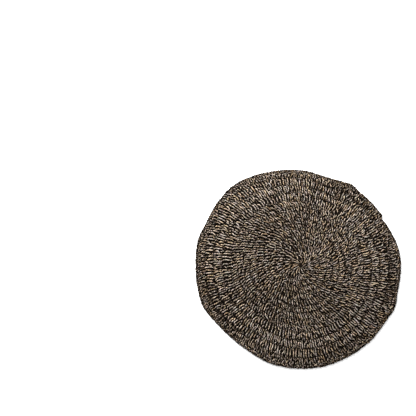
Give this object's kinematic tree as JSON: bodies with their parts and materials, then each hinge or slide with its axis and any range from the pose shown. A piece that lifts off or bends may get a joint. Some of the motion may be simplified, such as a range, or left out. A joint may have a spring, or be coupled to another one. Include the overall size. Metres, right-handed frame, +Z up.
{
  "type": "seagrass rug",
  "caption": "Round flat rug crocheted in concentric rounds from natural and black seagrass cord, with an uneven rim.",
  "frame": {"origin": "middle of the first crocheted round, on the flat underside", "axes": "+Z up through the rug, from its underside to its face; +Y towards the top of the picture"},
  "size_m": [1.015, 0.9828, 0.0135],
  "materials": {
    "seagrass": "matt twisted seagrass cord, natural and black worked together"
  },
  "bodies": {
    "root": {"rug": "seagrass"}
  },
  "joints": []
}
